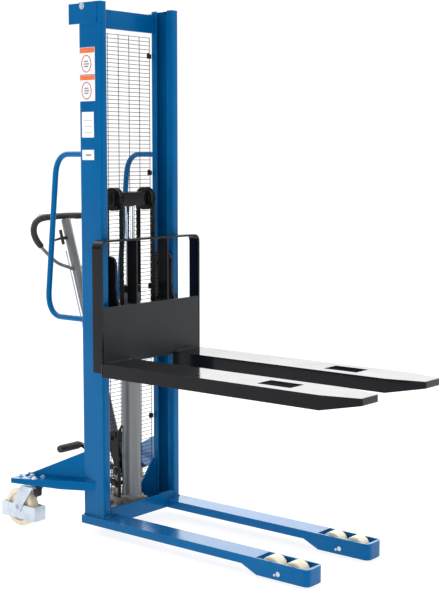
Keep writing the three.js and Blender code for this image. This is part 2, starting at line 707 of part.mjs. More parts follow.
{
  const lean = THREE.MathUtils.degToRad(tillerLean);
  const reach = pistonX - tillerPivot.x;
  const drop = pumpCapTop + clearance + 12 - tillerPivot.z;
  const padX = reach * Math.cos(lean) + drop * Math.sin(lean);
  const padZ = -reach * Math.sin(lean) + drop * Math.cos(lean);
  const pad = rod("y", 12, -18, 18, [padX, padZ], 20);
  const arm = prism("y", [[-8, 20, 4], [8, -16, 8], [padX + 4, padZ - 10, 4], [padX - 6, padZ + 10,
    4]], -18, 18, 3);
  const boss = rod("y", 16, -20, 20, [0, 0]);
  const socket = prism("y", [
    [-15, 0], [13, 0], [16, 60, 8], [26, 110, 5], [26, socketTop, 5], [-26, socketTop, 5], [-26, 96,
    5], [-22, 70, 8],
  ], -20, 20, 3);
  const bore = rod("y", pinRadius + clearance, -30, 30, [0, 0], 20);
  addTo(tiller, "tiller_casting", cut(join(boss, socket, arm, pad), bore), blackPaint);

  const gripEnd = new THREE.Vector2(loopHalfWidth - 24, tillerLength - 120);
  const gripNext = new THREE.Vector2(loopHalfWidth - 7, tillerLength - 95);
  const along = gripNext.clone().sub(gripEnd).normalize();
  const rodEnd = gripEnd.clone().addScaledVector(along, -2 * runningGap);
  const rodBend = gripEnd.clone().addScaledVector(along, -16);
  const rods = [-1, 1].map((s) => tube(new THREE.CatmullRomCurve3([
    new THREE.Vector3(0, s * 8, tillerLength - 222), new THREE.Vector3(0, s * 40, tillerLength - 210),
    new THREE.Vector3(0, s * 100, tillerLength - 185),
    new THREE.Vector3(0, s * rodBend.x, rodBend.y), new THREE.Vector3(0, s * rodEnd.x, rodEnd.y),
  ]), 7, 16, 8));
  const post = rod("z", tillerRadius, socketTop + clearance, tillerLength - gripRadius - runningGap, [0, 0]);
  addTo(tiller, "tiller_tube", join(post, ...rods), greyPaint);

  const loop = [];
  for (const s of [-1, 1]) {
    const half = [[gripEnd.x, gripEnd.y], [gripNext.x, gripNext.y], [loopHalfWidth, tillerLength - 65],
      [loopHalfWidth - 8, tillerLength - 30 - gripBow], [loopHalfWidth - 30, tillerLength - 8 - gripBow],
      [110, tillerLength - gripBow / 2]].map(([y, z]) => new THREE.Vector3(0, s * y, z));
    loop.push(...(s < 0 ? half : half.reverse()));
    if (s < 0) loop.push(new THREE.Vector3(0, 0, tillerLength));
  }
  addTo(tiller, "handle_grip", tube(new THREE.CatmullRomCurve3(loop), gripRadius, 36), rubber);

  addTo(tiller, "release_rod", rod("z", 3, socketTop + 8, tillerLength - 140, [-10, -tillerRadius - 8],
    8), zinc);
}

{
  const lever = new THREE.Group();
  lever.position.set(0, 0, tillerLength - 90);
  tiller.add(lever);
  const hub = rod("y", 7, -45, -tillerRadius - 1, [0, 0], 16);
  const blade = prism("x", mirrored([[38, -26, 3], [46, -26, 3], [46, -5], [92, -12, 4], [92, -4, 4],
    [46, 5], [46, 34, 3],
    [38, 34, 3]], -1), -5, 5, 3);
  addTo(lever, "lowering_lever", join(hub, blade), rubber);
}

// ---------------------------------------------------------------- foot pedal
const pedal = new THREE.Group();
pedal.position.set(pedalPivot.x, 0, pedalPivot.z);
pedal.rotation.y = THREE.MathUtils.degToRad(pedalRise);
object.add(pedal);
{
  const yoke = -112;
  const arms = [-1, 1].map((s) => box(yoke - 6, 12, ...(s > 0 ? [35, 45] : [-45, -35]), -9, 9));
  const bridge = box(yoke - 14, yoke, -45, pedalGripHalf - 4, -9, 9);
  const stem = box(-pedalLength - 9, yoke - 10, pedalGripHalf - 18, pedalGripHalf - 4, -7, 7);
  const bar = rod("y", 7, -pedalGripHalf + 4, pedalGripHalf - 10, [-pedalLength, 0], 12);
  const pin = rod("y", pinRadius, -47, 47, [0, 0], 20);
  addTo(pedal, "pedal_arm", join(bridge, ...arms, stem, bar, pin), darkSteel);
  const sleeve = turned("y", [
    [7 + clearance, -pedalGripHalf], [14, -pedalGripHalf], [15.5, 3 - pedalGripHalf],
    [15.5, pedalGripHalf - 22], [14, pedalGripHalf - 20], [7 + clearance, pedalGripHalf - 20],
  ], [-pedalLength, 0], 16);
  addTo(pedal, "pedal_grip", sleeve, rubber);
}

// ---------------------------------------------------------------- frame: centred on the floor under the outer box
object.updateMatrixWorld(true);
const bounds = new THREE.Box3().setFromObject(object);
const centre = bounds.getCenter(new THREE.Vector3());
object.position.set(-centre.x, -centre.y, -bounds.min.z);

export default object;
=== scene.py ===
import math

import bmesh
import bpy
from mathutils import Matrix, Vector


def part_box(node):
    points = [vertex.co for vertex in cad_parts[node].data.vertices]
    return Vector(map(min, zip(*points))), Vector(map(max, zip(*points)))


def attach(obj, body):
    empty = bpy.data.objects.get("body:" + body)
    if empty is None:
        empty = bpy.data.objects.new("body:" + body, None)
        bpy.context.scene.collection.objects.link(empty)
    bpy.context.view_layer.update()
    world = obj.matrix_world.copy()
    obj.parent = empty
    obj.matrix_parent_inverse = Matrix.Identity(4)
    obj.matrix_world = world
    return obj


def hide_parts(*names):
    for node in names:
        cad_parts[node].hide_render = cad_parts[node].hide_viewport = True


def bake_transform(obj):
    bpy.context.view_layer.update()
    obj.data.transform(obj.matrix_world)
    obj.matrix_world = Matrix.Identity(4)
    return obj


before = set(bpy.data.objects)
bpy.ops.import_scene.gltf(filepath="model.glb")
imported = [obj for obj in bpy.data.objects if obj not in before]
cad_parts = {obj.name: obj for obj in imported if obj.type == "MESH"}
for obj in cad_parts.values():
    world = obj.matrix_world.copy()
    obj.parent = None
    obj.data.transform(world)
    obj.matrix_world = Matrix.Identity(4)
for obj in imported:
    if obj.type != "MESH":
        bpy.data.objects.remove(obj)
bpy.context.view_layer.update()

# Places are in millimetres from the front plane of the uprights on the floor, as a fitter would
# measure them: x along the forks, y to the operator's left, z up.
MAST_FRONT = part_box("right_upright")[1].x
MM = 0.001


def at(x, y, z):
    return Vector((MAST_FRONT + x * MM, y * MM, z * MM))


# ---------------------------------------------------------------- camera
LENS_PIXELS = 1277.2
FRAME_PIXELS = 590
SENSOR = 36
looking = Vector((-0.6304, 0.7688, -0.1077)).normalized()
rightward = Vector((0.7733, 0.6341, 0)).normalized()
upward = rightward.cross(looking)
lens = bpy.data.cameras.new("view")
lens.sensor_width = SENSOR
lens.lens = LENS_PIXELS * SENSOR / FRAME_PIXELS
lens.clip_end = 60
camera = bpy.data.objects.new("view", lens)
turn = Matrix((rightward, upward, -looking)).transposed().to_4x4()
camera.matrix_world = Matrix.Translation(at(3300.4, -3558.4, 1421.3)) @ turn
bpy.context.scene.collection.objects.link(camera)
bpy.context.scene.camera = camera


# ---------------------------------------------------------------- finishes
def shade(red, green, blue):
    """A colour chip given in display steps of 0 to 255, as a linear colour."""
    linear = [c / 255 / 12.92 if c < 11 else ((c / 255 + 0.055) / 1.055) ** 2.4 for c in (red, green, blue)]
    return (*linear, 1)


class Signal:
    """One value in a finish; a sum or product of it adds its Math node."""

    def __init__(self, finish, socket):
        self.finish = finish
        self.socket = socket

    def combine(self, operation, first, second):
        return self.finish.node("Math", {"operation": operation}, {0: first, 1: second})

    def __add__(self, other):
        return self.combine("ADD", self, other)

    def __mul__(self, other):
        return self.combine("MULTIPLY", self, other)

    __radd__ = __add__
    __rmul__ = __mul__


class Finish:
    """A surface finish: one shader, the patterns behind it, and the record's slot that it belongs to."""

    def __init__(self, name, slot, **shader):
        self.slot = slot
        self.material = bpy.data.materials.new(name)
        self.material.use_nodes = True
        self.tree = self.material.node_tree
        self.shader = self.tree.nodes["Principled BSDF"]
        for socket, value in shader.items():
            self.shader.inputs[socket.replace("_", " ")].default_value = value
        self.place = self.node("TexCoord", out="Object")

    def node(self, kind, settings=None, sockets=None, out=0):
        made = self.tree.nodes.new("ShaderNode" + kind)
        for setting, value in (settings or {}).items():
            setattr(made, setting, value)
        for socket, value in (sockets or {}).items():
            if isinstance(value, Signal):
                self.tree.links.new(value.socket, made.inputs[socket])
            else:
                made.inputs[socket].default_value = value
        return Signal(self, made.outputs[out])

    def noise(self, scale, detail=3, stretch=(1, 1, 1)):
        where = self.node("Mapping", sockets={0: self.place, 3: stretch})
        return self.node("TexNoise", sockets={"Vector": where, "Scale": scale, "Detail": detail})

    def between(self, value, low, high, start=0, end=1):
        return self.node("MapRange", sockets={0: value, 1: low, 2: high, 3: start, 4: end})

    def mix(self, share, first, second):
        return self.node("Mix", {"data_type": "RGBA"}, {0: share, 6: first, 7: second}, out=2)

    def corners(self, radius):
        """1 along outside and inside corners, 0 on flat faces."""
        soft = self.node("Bevel", {"samples": 4}, {0: radius})
        flat = self.node("NewGeometry", out="Normal")
        along = self.node("VectorMath", {"operation": "DOT_PRODUCT"}, {0: soft, 1: flat}, out=1)
        return self.between(along, 0.995, 0.9)

    def height(self, axis):
        return self.node("SeparateXYZ", sockets={0: self.place}, out=axis)

    def colour(self, signal):
        self.tree.links.new(signal.socket, self.shader.inputs["Base Color"])

    def feed(self, socket, signal):
        self.tree.links.new(signal.socket, self.shader.inputs[socket])

    def relief(self, pattern, depth):
        self.feed("Normal", self.node("Bump", sockets={"Strength": 1, "Distance": depth, "Height": pattern}))


def enamel(name, slot, deep, pale, worn_and_highlight, gloss, peel, coat, dust=0.12, coat_gloss=0.06,
           glint=(1, 1, 1, 1), index=1.5):
    """Sprayed enamel: slow colour drift, orange peel, corners lightened towards the worn colour as rubbed
    paint and as a painted highlight, and a little dust near the floor.
    """
    paint = Finish(name, slot, Coat_Weight=coat, Coat_Roughness=coat_gloss, IOR=index, Specular_Tint=glint)
    drift = paint.between(paint.noise(4, 4), 0.3, 0.7)
    scuffs = paint.between(paint.noise(38, 6, (1, 1, 3)), 0.66, 0.76)
    # Corners, inside and outside, are lightened towards the worn colour: partly rubbed paint, partly a
    # painted highlight.
    rubbed_and_highlit = paint.corners(0.0025) * paint.between(paint.noise(24, 4), 0.42, 0.6)
    low = paint.between(paint.height(2), 0.22, 0, 0, dust) * paint.between(paint.noise(30, 5), 0.35, 0.7)
    base = paint.mix(drift, deep, pale)
    base = paint.mix(rubbed_and_highlit * 0.5, base, worn_and_highlight)
    base = paint.mix(low * 0.5, base, shade(150, 146, 138))
    paint.colour(paint.mix(scuffs * 0.06, base, worn_and_highlight))
    paint.feed("Roughness", gloss + paint.noise(16, 4) * 0.1 + scuffs * 0.08 + low * 0.5)
    paint.relief(paint.noise(220, 2) * peel + paint.noise(6, 2), 0.0007)
    return paint


def metal(name, slot, dark, light, gloss, grain, metallic=1.0, stretch=(1, 1, 12)):
    """Bare or plated metal: drawn grain, blotches of tarnish and darker corners."""
    plate = Finish(name, slot, Metallic=metallic)
    streaks = plate.noise(grain, 5, stretch)
    blotch = plate.between(plate.noise(22, 5), 0.35, 0.68)
    # Every corner, inside and outside, is darkened towards the dark colour.
    darkened_corners = plate.corners(0.0018)
    base = plate.mix(blotch * 0.6 + streaks * 0.3, light, dark)
    plate.colour(plate.mix(darkened_corners * 0.35, base, dark))
    plate.feed("Roughness", gloss + streaks * 0.14 + blotch * 0.1)
    plate.relief(streaks * 0.5 + blotch * 0.2, 0.0003)
    return plate


def moulded(name, slot, deep, pale, gloss, grain, depth, metallic=0.0):
    """Moulded plastic, rubber or cast metal: fine grain, slow drift, and corners lightened as rubbed high
    spots and as a painted highlight.
    """
    cast = Finish(name, slot, Metallic=metallic)
    drift = cast.between(cast.noise(18, 4), 0.3, 0.7)
    fine = cast.noise(grain, 4)
    # Corners are lightened towards the pale colour: partly rubbed wear, partly a painted highlight.
    rubbed_and_highlit = cast.corners(0.002)
    base = cast.mix(drift, deep, pale)
    cast.colour(cast.mix(rubbed_and_highlit * 0.3, base, pale))
    cast.feed("Roughness", gloss + fine * 0.16 + drift * 0.06)
    cast.relief(fine + drift * 0.3, depth)
    return cast


# The third colour of each enamel is its rubbed-paint tone, also used as the painted highlight along corners.
blue = enamel("blue_enamel", "blue_paint", shade(0, 84, 140), shade(0, 94, 152), shade(60, 150, 205),
              gloss=0.14, peel=0.05, coat=0.04, dust=0.05, coat_gloss=0.04, glint=(0.02, 0.3, 0.6, 1),
              index=1.6)
black = enamel("black_enamel", "black_paint", shade(15, 16, 18), shade(22, 23, 26), shade(84, 86, 90),
               gloss=0.06, peel=0.05, coat=0.05, glint=(0.06, 0.06, 0.07, 1), index=2.1)
charcoal = enamel("charcoal_enamel", "black_paint", shade(36, 39, 42), shade(44, 47, 51), shade(95, 97, 100),
                  gloss=0.3, peel=0.12, coat=0.05, glint=(0.15, 0.16, 0.17, 1), index=1.6)
silver = enamel("silver_enamel", "grey_paint", shade(116, 118, 120), shade(132, 134, 136),
                shade(190, 192, 194), gloss=0.3, peel=0.14, coat=0.1)
silver.shader.inputs["Metallic"].default_value = 0.35
zinc = metal("zinc_plate", "zinc", shade(176, 190, 204), shade(214, 222, 230), 0.26, 14, 0.75, (1, 1, 1))
chrome = metal("hard_chrome", "chrome", shade(196, 198, 202), shade(226, 228, 231), 0.05, 60)
steel = metal("oiled_steel", "dark_steel", shade(24, 22, 21), shade(62, 59, 57), 0.3, 80)
wire = metal("black_wire", "dark_steel", shade(20, 20, 21), shade(46, 46, 48), 0.4, 60, 0.3)
nylon = moulded("cast_nylon", "nylon", shade(222, 210, 182), shade(242, 234, 214), 0.34, 160, 0.0002)
rubber = moulded("black_rubber", "rubber", shade(18, 18, 19), shade(34, 34, 36), 0.5, 420, 0.0005)
casting = moulded("pump_casting", "grey_paint", shade(112, 108, 100), shade(160, 156, 147), 0.42, 190,
                  0.0012, 0.4)
signal_plastic = moulded("signal_plastic", "rubber", shade(196, 62, 28), shade(226, 84, 40), 0.3, 200, 0.0002)
paper = moulded("label_film", "blue_paint", shade(232, 234, 236), shade(244, 245, 246), 0.3, 300, 0.0001)
amber = moulded("label_header", "blue_paint", shade(222, 92, 40), shade(236, 118, 62), 0.4, 300, 0.0001)
red_ink = moulded("label_ring", "blue_paint", shade(176, 40, 40), shade(196, 56, 52), 0.4, 300, 0.0001)
grey_ink = moulded("label_lines", "blue_paint", shade(120, 122, 126), shade(140, 142, 146), 0.4, 300, 0.0001)


# ---------------------------------------------------------------- carried-over parts
SMOOTH_ANGLE = 32


def corner_softener():
    """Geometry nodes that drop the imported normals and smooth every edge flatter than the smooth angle."""
    group = bpy.data.node_groups.new("smooth_by_angle", "GeometryNodeTree")
    group.interface.new_socket("Geometry", in_out="INPUT", socket_type="NodeSocketGeometry")
    group.interface.new_socket("Geometry", in_out="OUTPUT", socket_type="NodeSocketGeometry")
    nodes = group.nodes
    incoming = nodes.new("NodeGroupInput")
    outgoing = nodes.new("NodeGroupOutput")
    drop = nodes.new("GeometryNodeRemoveAttribute")
    drop.inputs["Name"].default_value = "custom_normal"
    faces = nodes.new("GeometryNodeSetShadeSmooth")
    edges = nodes.new("GeometryNodeSetShadeSmooth")
    sharp = nodes.new("GeometryNodeSetShadeSmooth")
    edges.domain = sharp.domain = "EDGE"
    sharp.inputs["Shade Smooth"].default_value = False
    angle = nodes.new("GeometryNodeInputMeshEdgeAngle")
    steep = nodes.new("FunctionNodeCompare")
    steep.operation = "GREATER_THAN"
    steep.inputs[1].default_value = math.radians(SMOOTH_ANGLE)
    join = group.links.new
    join(angle.outputs[0], steep.inputs[0])
    join(steep.outputs[0], sharp.inputs["Selection"])
    chain = [incoming, drop, faces, edges, sharp, outgoing]
    for before, after in zip(chain, chain[1:]):
        join(before.outputs[0], after.inputs[0])
    return group


smooth_by_angle = corner_softener()


def soften(obj, width):
    """Rounds a carried-over part's sharp corners as a press brake and a grinder leave them."""
    weld = obj.modifiers.new("weld", "WELD")
    weld.merge_threshold = 0.00002
    first = obj.modifiers.new("smooth", "NODES")
    first.node_group = smooth_by_angle
    flat = obj.modifiers.new("flatten", "DECIMATE")
    flat.decimate_type = "DISSOLVE"
    flat.angle_limit = math.radians(0.6)
    bevel = obj.modifiers.new("corners", "BEVEL")
    bevel.limit_method = "ANGLE"
    bevel.angle_limit = math.radians(38)
    bevel.width = width * MM
    bevel.segments = 2
    last = obj.modifiers.new("smooth_again", "NODES")
    last.node_group = smooth_by_angle
    even = obj.modifiers.new("even", "WEIGHTED_NORMAL")
    even.keep_sharp = True


def finish_node(node, finish, corner=1.0):
    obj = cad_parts[node]
    for slot in obj.material_slots:
        slot.material = finish.material
    if corner:
        soften(obj, corner)


SIDES = (("right", -1), ("left", 1))
for side, _ in SIDES:
    for node in ("upright", "leg", "outrigger"):
        finish_node(f"{side}_{node}", blue, 1.2)
    finish_node(f"{side}_fork", black, 1.4)
    finish_node(f"{side}_side_plate", black, 1.0)
    finish_node(f"{side}_caster_fork", zinc, 0.8)
    finish_node(f"{side}_toe_guard", zinc, 0.8)
    finish_node(f"{side}_bogie", steel, 0.6)
for node in ("top_crossbeam", "mid_crossbeam", "base_front_plate", "base_floor_plate"):
    finish_node(node, blue, 1.0)
for node in ("crosshead", "backrest", "carriage_tie", "tiller_casting"):
    finish_node(node, black, 1.0)
finish_node("carriage_plate", charcoal, 1.0)
finish_node("pump_body", casting, 1.4)
finish_node("tiller_pin", steel, 0.8)
finish_node("pedal_arm", steel, 0.8)
finish_node("release_rod", zinc, 0)
finish_node("lowering_lever", rubber, 0.8)


# ---------------------------------------------------------------- workshop
class Work:
    """One piece in the making; every shape is added to the same mesh."""

    def __init__(self):
        self.mesh = bmesh.new()

    def skin(self, rings, caps=True):
        """Joins rings of points, each as long as the last, into one skin."""
        rows = [[self.mesh.verts.new(p) for p in ring] for ring in rings]
        count = len(rows[0])
        for below, above in zip(rows, rows[1:]):
            for i in range(count):
                j = (i + 1) % count
                self.mesh.faces.new((below[i], below[j], above[j], above[i]))
        if caps:
            self.mesh.faces.new(reversed(rows[0]))
            self.mesh.faces.new(rows[-1])
        return rows

    def turned(self, profile, centre, axis="y", steps=64):
        """Turns a closed profile of (radius, station) about an axis through centre."""
        rings = []
        for k in range(steps):
            angle = 2 * math.pi * k / steps
            ring = []
            for radius, station in profile:
                c, s = radius * math.cos(angle), radius * math.sin(angle)
                offset = {"x": (station, c, s), "y": (s, station, c), "z": (c, s, station)}[axis]
                ring.append(at(*(a + b for a, b in zip(centre, offset))))
            rings.append(ring)
        rows = self.skin(rings, caps=False)
        count = len(profile)
        for i in range(count):
            j = (i + 1) % count
            self.mesh.faces.new((rows[-1][i], rows[-1][j], rows[0][j], rows[0][i]))
        return self

    def disc(self, profile, centre, axis="y", steps=48):
        """A turned piece with no hole: the profile runs from the middle out and back to the middle."""
        tiny = 0.02
        return self.turned([(max(r, tiny), s) for r, s in profile], centre, axis, steps)

    def swept(self, points, radius, sides=14):
        """A round bar along points; radius is one number or a function of the share of its length."""
        points = [Vector(p) for p in points]
        lengths = [0]
        for a, b in zip(points, points[1:]):
            lengths.append(lengths[-1] + (b - a).length)
        tangents = []
        for i in range(len(points)):
            before, after = points[max(i - 1, 0)], points[min(i + 1, len(points) - 1)]
            tangents.append((after - before).normalized())
        across = tangents[0].orthogonal().normalized()
        rings = []
        for i, point in enumerate(points):
            across = (across - tangents[i] * across.dot(tangents[i])).normalized()
            other = tangents[i].cross(across)
            r = radius(lengths[i] / lengths[-1]) if callable(radius) else radius
            ring = []
            for k in range(sides):
                angle = 2 * math.pi * k / sides
                offset = across * (r * math.cos(angle)) + other * (r * math.sin(angle))
                ring.append(at(*(point + offset)))
            rings.append(ring)
        self.skin(rings)
        return self

    def plate(self, outline, axis, low, high, chamfer=0.0):
        """A flat plate: its outline, the axis it is thick along, and its two faces."""
        def placed(u, v, w):
            return at(*{"x": (w, u, v), "y": (u, w, v), "z": (u, v, w)}[axis])
        middle = [sum(p[i] for p in outline) / len(outline) for i in (0, 1)]
        def inset(amount):
            points = []
            for u, v in outline:
                du, dv = u - middle[0], v - middle[1]
                points.append((u + amount * ((du < 0) - (du > 0)), v + amount * ((dv < 0) - (dv > 0))))
            return points
        if chamfer:
            edge = inset(chamfer)
            layers = [(edge, low), (outline, low + chamfer), (outline, high - chamfer), (edge, high)]
        else:
            layers = [(outline, low), (outline, high)]
        self.skin([[placed(u, v, w) for u, v in points] for points, w in layers])
        return self

    def block(self, x, y, z, chamfer=0.6):
        return self.plate([(x[0], y[0]), (x[1], y[0]), (x[1], y[1]), (x[0], y[1])], "z", z[0], z[1], chamfer)

    def bolt(self, centre, axis, direction, across=8, tall=6, washer=True):
        """A hexagon head and its washer, standing on a face at centre and pointing along direction."""
        if washer:
            low, high = sorted((0, 1.6 * direction))
            r = across * 0.95
            self.disc([(0, low), (r, low), (r, high), (0, high)], centre, axis, 28)
        start, end = 1.2 * direction, (1.6 + tall) * direction
        low, high = sorted((start, end))
        r = across * 0.6
        edge = 0.8
        stations = [(r - edge, low), (r, low + edge), (r, high - edge), (r - edge, high)]
        rings = []
        for radius, station in stations:
            ring = []
            for k in range(6):
                angle = math.pi / 3 * k + 0.2
                c, s = radius * math.cos(angle), radius * math.sin(angle)
                offset = {"x": (station, c, s), "y": (s, station, c), "z": (c, s, station)}[axis]
                ring.append(at(*(a + b for a, b in zip(centre, offset))))
            rings.append(ring)
        self.skin(rings)
        return self

    def bead(self, start, end, radius=3.0):
        """A run of weld: a lumpy half-round bar laid in a seam."""
        start, end = Vector(start), Vector(end)
        length = (end - start).length
        count = max(6, int(length / 2.2))
        points = [start.lerp(end, i / count) for i in range(count + 1)]

        def ripple(share):
            taper = min(1, 12 * share + 0.35, 12 * (1 - share) + 0.35)
            lumps = 0.16 * math.sin(share * length * 1.15) + 0.07 * math.sin(share * length * 0.31)
            return radius * taper * (1 + lumps)

        return self.swept(points, ripple, 8)

    def done(self, name, finish, body, replaces=()):
        """Closes the piece: its finish, the body that it rides on and the nodes that it stands for."""
        bmesh.ops.recalc_face_normals(self.mesh, faces=self.mesh.faces)
        for face in self.mesh.faces:
            face.smooth = True
        for edge in self.mesh.edges:
            edge.smooth = edge.is_manifold and edge.calc_face_angle(0) < math.radians(SMOOTH_ANGLE)
        data = bpy.data.meshes.new(name)
        self.mesh.to_mesh(data)
        self.mesh.free()
        data.materials.append(finish.material)
        obj = bpy.data.objects.new(name, data)
        bpy.context.scene.collection.objects.link(obj)
        if body:
            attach(obj, body)
        if replaces:
            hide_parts(*replaces)
        return obj


def full_turn(steps):
    """Angles once round, the last on top of the first."""
    return [2 * math.pi * k / steps for k in range(steps + 1)]


def curve_points(knots, steps=10):
    """A smooth line through knots, with steps points between each pair."""
    knots = [Vector(k) for k in knots]
    points = []
    for i in range(len(knots) - 1):
        a = knots[max(i - 1, 0)]
        b, c = knots[i], knots[i + 1]
        d = knots[min(i + 2, len(knots) - 1)]
        for k in range(steps):
            t = k / steps
            points.append(0.5 * (2 * b + (c - a) * t + (2 * a - 5 * b + 4 * c - d) * t * t
                                 + (3 * b - a - 3 * c + d) * t ** 3))
    points.append(knots[-1])
    return points


def bezier(a, b, c, d, y, steps=14):
    """Points of one bend in the x-z plane at a given y."""
    points = []
    for k in range(steps + 1):
        t = k / steps
        shares = ((1 - t) ** 3, 3 * t * (1 - t) ** 2, 3 * t * t * (1 - t), t ** 3)
        x, z = (sum(share * p[i] for share, p in zip(shares, (a, b, c, d))) for i in (0, 1))
        points.append((x, y, z))
    return points


# ---------------------------------------------------------------- wire guard
GUARD_BOTTOM, GUARD_TOP, GUARD_HALF = 125, 1880, 175
GUARD_X = -114.6
COLUMN_PITCH = GUARD_HALF / 3
NOTCH_TOP = 335
CROSS_PITCH = 15.2
CLIP_HEIGHTS = (389, 910, 1358, 1809)

work = Work()
rows = int((GUARD_TOP - GUARD_BOTTOM) / CROSS_PITCH)
for i in range(rows + 1):
    z = GUARD_TOP - i * CROSS_PITCH
    runs = [(-GUARD_HALF, GUARD_HALF)]
    if z < NOTCH_TOP:
        runs = [(-GUARD_HALF, -COLUMN_PITCH), (COLUMN_PITCH, GUARD_HALF)]
    for y0, y1 in runs:
        work.swept([(GUARD_X + 1.4, y0, z), (GUARD_X + 1.4, y1, z)], 1.15, 8)
for column in range(-3, 4):
    y = column * COLUMN_PITCH
    low = NOTCH_TOP if column == 0 else GUARD_BOTTOM
    work.swept([(GUARD_X, y, low - 2), (GUARD_X, y, GUARD_TOP + 2)], 1.3, 8)
work.done("guard_wires", wire, "mast", ["guard_mesh"])

work = Work()
for _, sign in SIDES:
    for z in CLIP_HEIGHTS:
        width = sorted((sign * 157, sign * 177.2))
        work.block((-112.5, -106), width, (z - 9, z + 9), 1.5)
        work.bolt((-106, sign * 166, z), "x", 1, 9, 4)
        work.disc([(0, -1), (7, -1), (7.6, 1), (7, 3), (0, 3)], (-108, sign * 160, z + 6), "x", 24)
work.done("guard_clips", wire, "mast")


# ---------------------------------------------------------------- running gear
def wheel_profile(radius, half, hub_radius, hub_half, bore, groove):
    """Rim, recessed web and hub of a cast wheel, from the bore round the outside and back."""
    rim = radius - groove
    return [
        (bore, -hub_half), (hub_radius - 1.5, -hub_half), (hub_radius, -hub_half + 1.5),
        (hub_radius + 1, -half + 7),
        (rim - 1.5, -half + 7), (rim, -half + 1), (rim + 1.5, -half), (radius - 6, -half), (radius - 2,
            -half + 2),
        (radius, -half + 7), (radius, 0), (radius, half - 7), (radius - 2, half - 2), (radius - 6, half),
        (rim + 1.5, half), (rim, half - 1), (rim - 1.5, half - 7), (hub_radius + 1, half - 7),
        (hub_radius, hub_half - 1.5), (hub_radius - 1.5, hub_half), (bore, hub_half),
    ]


CASTER_Y = 300
STEM_X = -300
WHEEL_X, WHEEL_RADIUS = -360, 75
TANDEM_Y, TANDEM_RADIUS = 182.5, 39
BOGIE_PIN = (822, 32)

for side, sign in SIDES:
    hub = (WHEEL_X, sign * CASTER_Y, WHEEL_RADIUS)
    work = Work()
    work.turned(wheel_profile(WHEEL_RADIUS, 20, 22, 23, 7.4, 21), hub, "y", 88)
    work.done(f"{side}_wheel", nylon, f"{side}_wheel", [f"{side}_caster_wheel"])
    work = Work()
    for way in (-1, 1):
        low, high = sorted((way * 22.6, way * 24.4))
        work.turned([(7.6, low), (14, low), (15, (low + high) / 2), (14, high), (7.6, high)], hub, "y", 48)
    work.done(f"{side}_wheel_bearings", steel, f"{side}_wheel")
    for end, x in (("rear", 774.5), ("front", 869.5)):
        centre = (x, sign * TANDEM_Y, TANDEM_RADIUS)
        work = Work()
        work.turned([
            (8.4, -22), (20, -22), (21, -24), (27, -24.4), (33, -25), (36.5, -24.2), (38.6, -22), (39, -19),
            (39, 19), (38.6, 22), (36.5, 24.2), (33, 25), (27, 24.4), (21, 24), (20, 22), (8.4, 22),
        ], centre, "y", 72)
        body = f"{side}_load_roller_{end}_body"
        work.done(f"{side}_tandem_{end}", nylon, body, [f"{side}_load_roller_{end}"])
        work = Work()
        for way in (-1, 1):
            low, high = sorted((way * 21, way * 23.6))
            work.turned([(8.4, low), (19.4, low), (19.4, high), (8.4, high)], centre, "y", 40)
        work.done(f"{side}_tandem_{end}_bearings", steel, body)
    work = Work()
    for way in (-1, 1):
        face = sign * TANDEM_Y + way * 44.6
        cap = [(0, 0), (8.6, 0), (8.6, way * 2.2), (7, way * 3.4), (0, way * 3.4)]
        work.disc(cap, (BOGIE_PIN[0], face, BOGIE_PIN[1]), "y", 32)
        work.disc([(0, 0), (5, 0), (4.4, way * 2), (0, way * 2)], (807, face, 26), "y", 24)
    work.done(f"{side}_pin_caps", zinc, "mast")

    work = Work()
    for x in (-342, -266):
        for y in (278, 322):
            work.bolt((x, sign * y, 200), "z", 1, 12, 6)
    work.bolt((STEM_X, sign * CASTER_Y, 200), "z", 1, 17, 8)
    work.done(f"{side}_caster_bolts", zinc, "mast")
    work = Work()
    work.plate([(-262, 166), (-286, 166), (-282, 134), (-270, 126), (-262, 134)], "y",
               *sorted((sign * (CASTER_Y - 14), sign * (CASTER_Y + 14))), 2)
    work.done(f"{side}_caster_stop", rubber, f"{side}_caster")
    work = Work()
    for way in (-1, 1):
        cheek = sign * CASTER_Y + way * 32.4
        work.bolt((WHEEL_X, cheek, WHEEL_RADIUS), "y", way, 14, 5)
        wall = sign * CASTER_Y + way * 28
        rivet = [(0, 0), (4.5, 0), (4.5, way * 1.2), (3, way * 2.6), (0, way * 2.6)]
        for x in (-379, -334):
            work.disc(rivet, (x, wall, 82), "y", 20)
    dust_ring = [(27.4, 170.4), (29, 170.4), (29.6, 172), (29.6, 177), (28, 179), (27.4, 179)]
    work.turned(dust_ring, (STEM_X, sign * CASTER_Y, 0), "z", 56)
    work.done(f"{side}_caster_fittings", zinc, f"{side}_caster")


# ---------------------------------------------------------------- push hoops
HOOP_Y, HOOP_RADIUS = 195, 11
HOOP_TOP, HOOP_FOOT = 1431, 813
HOOP_ROOT = -109.3

for side, sign in SIDES:
    y = sign * HOOP_Y
    path = [(HOOP_ROOT, y, HOOP_TOP), (-150, y, HOOP_TOP)]
    path += bezier((-190, HOOP_TOP), (-232, HOOP_TOP), (-256, 1400), (-261, 1350), y)
    path += bezier((-306, 905), (-311, 850), (-285, HOOP_FOOT), (-240, HOOP_FOOT), y)
    path += [(-180, y, HOOP_FOOT), (HOOP_ROOT, y, HOOP_FOOT)]
    work = Work()
    work.swept(path, HOOP_RADIUS, 24)
    work.done(f"{side}_hoop", blue, "mast", [f"{side}_push_handle"])
    work = Work()
    for z in (HOOP_FOOT, HOOP_TOP):
        ring = [(-110.6, y + 12.4 * math.cos(a), z + 12.4 * math.sin(a))
                for a in full_turn(40)]
        work.swept(ring, lambda share: 2.4 * (1 + 0.15 * math.sin(share * 130)), 8)
    work.done(f"{side}_hoop_welds", blue, "mast")


